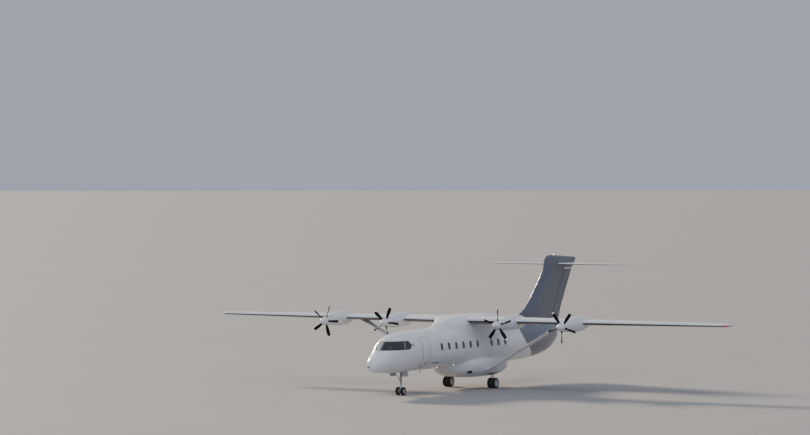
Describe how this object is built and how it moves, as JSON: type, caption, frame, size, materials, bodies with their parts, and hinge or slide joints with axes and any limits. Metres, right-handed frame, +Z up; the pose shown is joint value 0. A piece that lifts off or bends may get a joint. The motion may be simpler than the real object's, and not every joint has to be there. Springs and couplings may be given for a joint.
{
  "type": "four-propeller strut-braced airliner",
  "caption": "High-wing airliner with a braced wing, slim engines, black propellers, a tall fin with a high tailplane, and wheels under a belly fairing.",
  "frame": {"origin": "on the ground below the middle of the overall length, in the plane of symmetry", "axes": "+X to the port wing tip, +Y to the tail, +Z up; the nose points to -Y"},
  "size_m": [32, 22.48, 7.14],
  "materials": {
    "white_paint": "gloss",
    "slate_paint": "gloss",
    "cockpit_glass": "gloss",
    "blade_black": "satin",
    "gear_metal": "satin",
    "wheel_metal": "satin",
    "motor_metal": "satin",
    "tyre": "matte"
  },
  "bodies": {
    "airframe": {"fuselage_nose": "white_paint", "fuselage_cabin": "white_paint", "passenger_door": "white_paint", "service_door": "white_paint", "wing_fairing": "white_paint", "cockpit_glazing": "cockpit_glass", "fuselage_tail": "slate_paint", "fin": "slate_paint", "tailplane": "white_paint", "nose_leg": "gear_metal", "belly_fairing_port": "white_paint", "wing_port": "white_paint", "strut_port": "white_paint", "nose_bay_door_port": "white_paint", "nacelle_inner_port": "white_paint", "motor_inner_port": "motor_metal", "nacelle_outer_port": "white_paint", "motor_outer_port": "motor_metal", "main_leg_port": "gear_metal", "belly_fairing_starboard": "white_paint", "wing_starboard": "white_paint", "strut_starboard": "white_paint", "nose_bay_door_starboard": "white_paint", "nacelle_inner_starboard": "white_paint", "motor_inner_starboard": "motor_metal", "nacelle_outer_starboard": "white_paint", "motor_outer_starboard": "motor_metal", "main_leg_starboard": "gear_metal"},
    "propeller_inner_port": {"spinner_inner_port": "white_paint", "blades_inner_port": "blade_black"},
    "propeller_outer_port": {"spinner_outer_port": "white_paint", "blades_outer_port": "blade_black"},
    "flap_inner_port": {"flap_inner_port": "white_paint"},
    "flap_outer_port": {"flap_outer_port": "white_paint"},
    "aileron_port": {"aileron_port": "white_paint"},
    "elevator_port": {"elevator_port": "white_paint"},
    "main_wheels_port": {"main_wheels_port": "wheel_metal", "main_tyre_inner_port": "tyre", "main_tyre_outer_port": "tyre"},
    "propeller_inner_starboard": {"spinner_inner_starboard": "white_paint", "blades_inner_starboard": "blade_black"},
    "propeller_outer_starboard": {"spinner_outer_starboard": "white_paint", "blades_outer_starboard": "blade_black"},
    "flap_inner_starboard": {"flap_inner_starboard": "white_paint"},
    "flap_outer_starboard": {"flap_outer_starboard": "white_paint"},
    "aileron_starboard": {"aileron_starboard": "white_paint"},
    "elevator_starboard": {"elevator_starboard": "white_paint"},
    "main_wheels_starboard": {"main_wheels_starboard": "wheel_metal", "main_tyre_inner_starboard": "tyre", "main_tyre_outer_starboard": "tyre"},
    "rudder": {"rudder": "slate_paint"},
    "nose_steering": {"nose_fork": "gear_metal"},
    "nose_wheels": {"nose_wheels": "wheel_metal", "nose_tyre_port": "tyre", "nose_tyre_starboard": "tyre"}
  },
  "joints": [
    {"name": "propeller_inner_port_spin", "type": "hinge", "parent": "airframe", "child": "propeller_inner_port", "pos_m": [3.55, -4.09, 3.62], "axis": [0, 1, 0], "continuous": true},
    {"name": "propeller_outer_port_spin", "type": "hinge", "parent": "airframe", "child": "propeller_outer_port", "pos_m": [7.46, -4.09, 3.62], "axis": [0, 1, 0], "continuous": true},
    {"name": "flap_inner_port_hinge", "type": "hinge", "parent": "airframe", "child": "flap_inner_port", "pos_m": [3.355, -1.08, 3.8], "axis": [-1, 0, 0], "range_deg": [0, 35]},
    {"name": "flap_outer_port_hinge", "type": "hinge", "parent": "airframe", "child": "flap_outer_port", "pos_m": [7.8, -1.08, 3.8], "axis": [-1, 0, 0], "range_deg": [0, 35]},
    {"name": "aileron_port_hinge", "type": "hinge", "parent": "airframe", "child": "aileron_port", "pos_m": [12.925, -1.08, 3.8], "axis": [1, 0, 0], "range_deg": [-20, 25]},
    {"name": "elevator_port_hinge", "type": "hinge", "parent": "airframe", "child": "elevator_port", "pos_m": [2.265, 9.69, 6.59], "axis": [1, 0, 0], "range_deg": [-20, 25]},
    {"name": "main_wheels_port_spin", "type": "hinge", "parent": "airframe", "child": "main_wheels_port", "pos_m": [1.42, -0.88, 0.29], "axis": [1, 0, 0], "continuous": true},
    {"name": "propeller_inner_starboard_spin", "type": "hinge", "parent": "airframe", "child": "propeller_inner_starboard", "pos_m": [-3.55, -4.09, 3.62], "axis": [0, 1, 0], "continuous": true},
    {"name": "propeller_outer_starboard_spin", "type": "hinge", "parent": "airframe", "child": "propeller_outer_starboard", "pos_m": [-7.46, -4.09, 3.62], "axis": [0, 1, 0], "continuous": true},
    {"name": "flap_inner_starboard_hinge", "type": "hinge", "parent": "airframe", "child": "flap_inner_starboard", "pos_m": [-3.355, -1.08, 3.8], "axis": [-1, 0, 0], "range_deg": [0, 35]},
    {"name": "flap_outer_starboard_hinge", "type": "hinge", "parent": "airframe", "child": "flap_outer_starboard", "pos_m": [-7.8, -1.08, 3.8], "axis": [-1, 0, 0], "range_deg": [0, 35]},
    {"name": "aileron_starboard_hinge", "type": "hinge", "parent": "airframe", "child": "aileron_starboard", "pos_m": [-12.925, -1.08, 3.8], "axis": [1, 0, 0], "range_deg": [-20, 25]},
    {"name": "elevator_starboard_hinge", "type": "hinge", "parent": "airframe", "child": "elevator_starboard", "pos_m": [-2.265, 9.69, 6.59], "axis": [1, 0, 0], "range_deg": [-20, 25]},
    {"name": "main_wheels_starboard_spin", "type": "hinge", "parent": "airframe", "child": "main_wheels_starboard", "pos_m": [-1.42, -0.88, 0.29], "axis": [1, 0, 0], "continuous": true},
    {"name": "rudder_hinge", "type": "hinge", "parent": "airframe", "child": "rudder", "pos_m": [0, 8.2, 3.5], "axis": [0, 0.5054, 0.8629], "range_deg": [-25, 25]},
    {"name": "nose_steering_turn", "type": "hinge", "parent": "airframe", "child": "nose_steering", "pos_m": [0, -8.244, 0.5], "axis": [0, 0, 1], "range_deg": [-60, 60]},
    {"name": "nose_wheels_spin", "type": "hinge", "parent": "nose_steering", "child": "nose_wheels", "pos_m": [0, -8.244, 0.22], "axis": [1, 0, 0], "continuous": true}
  ]
}
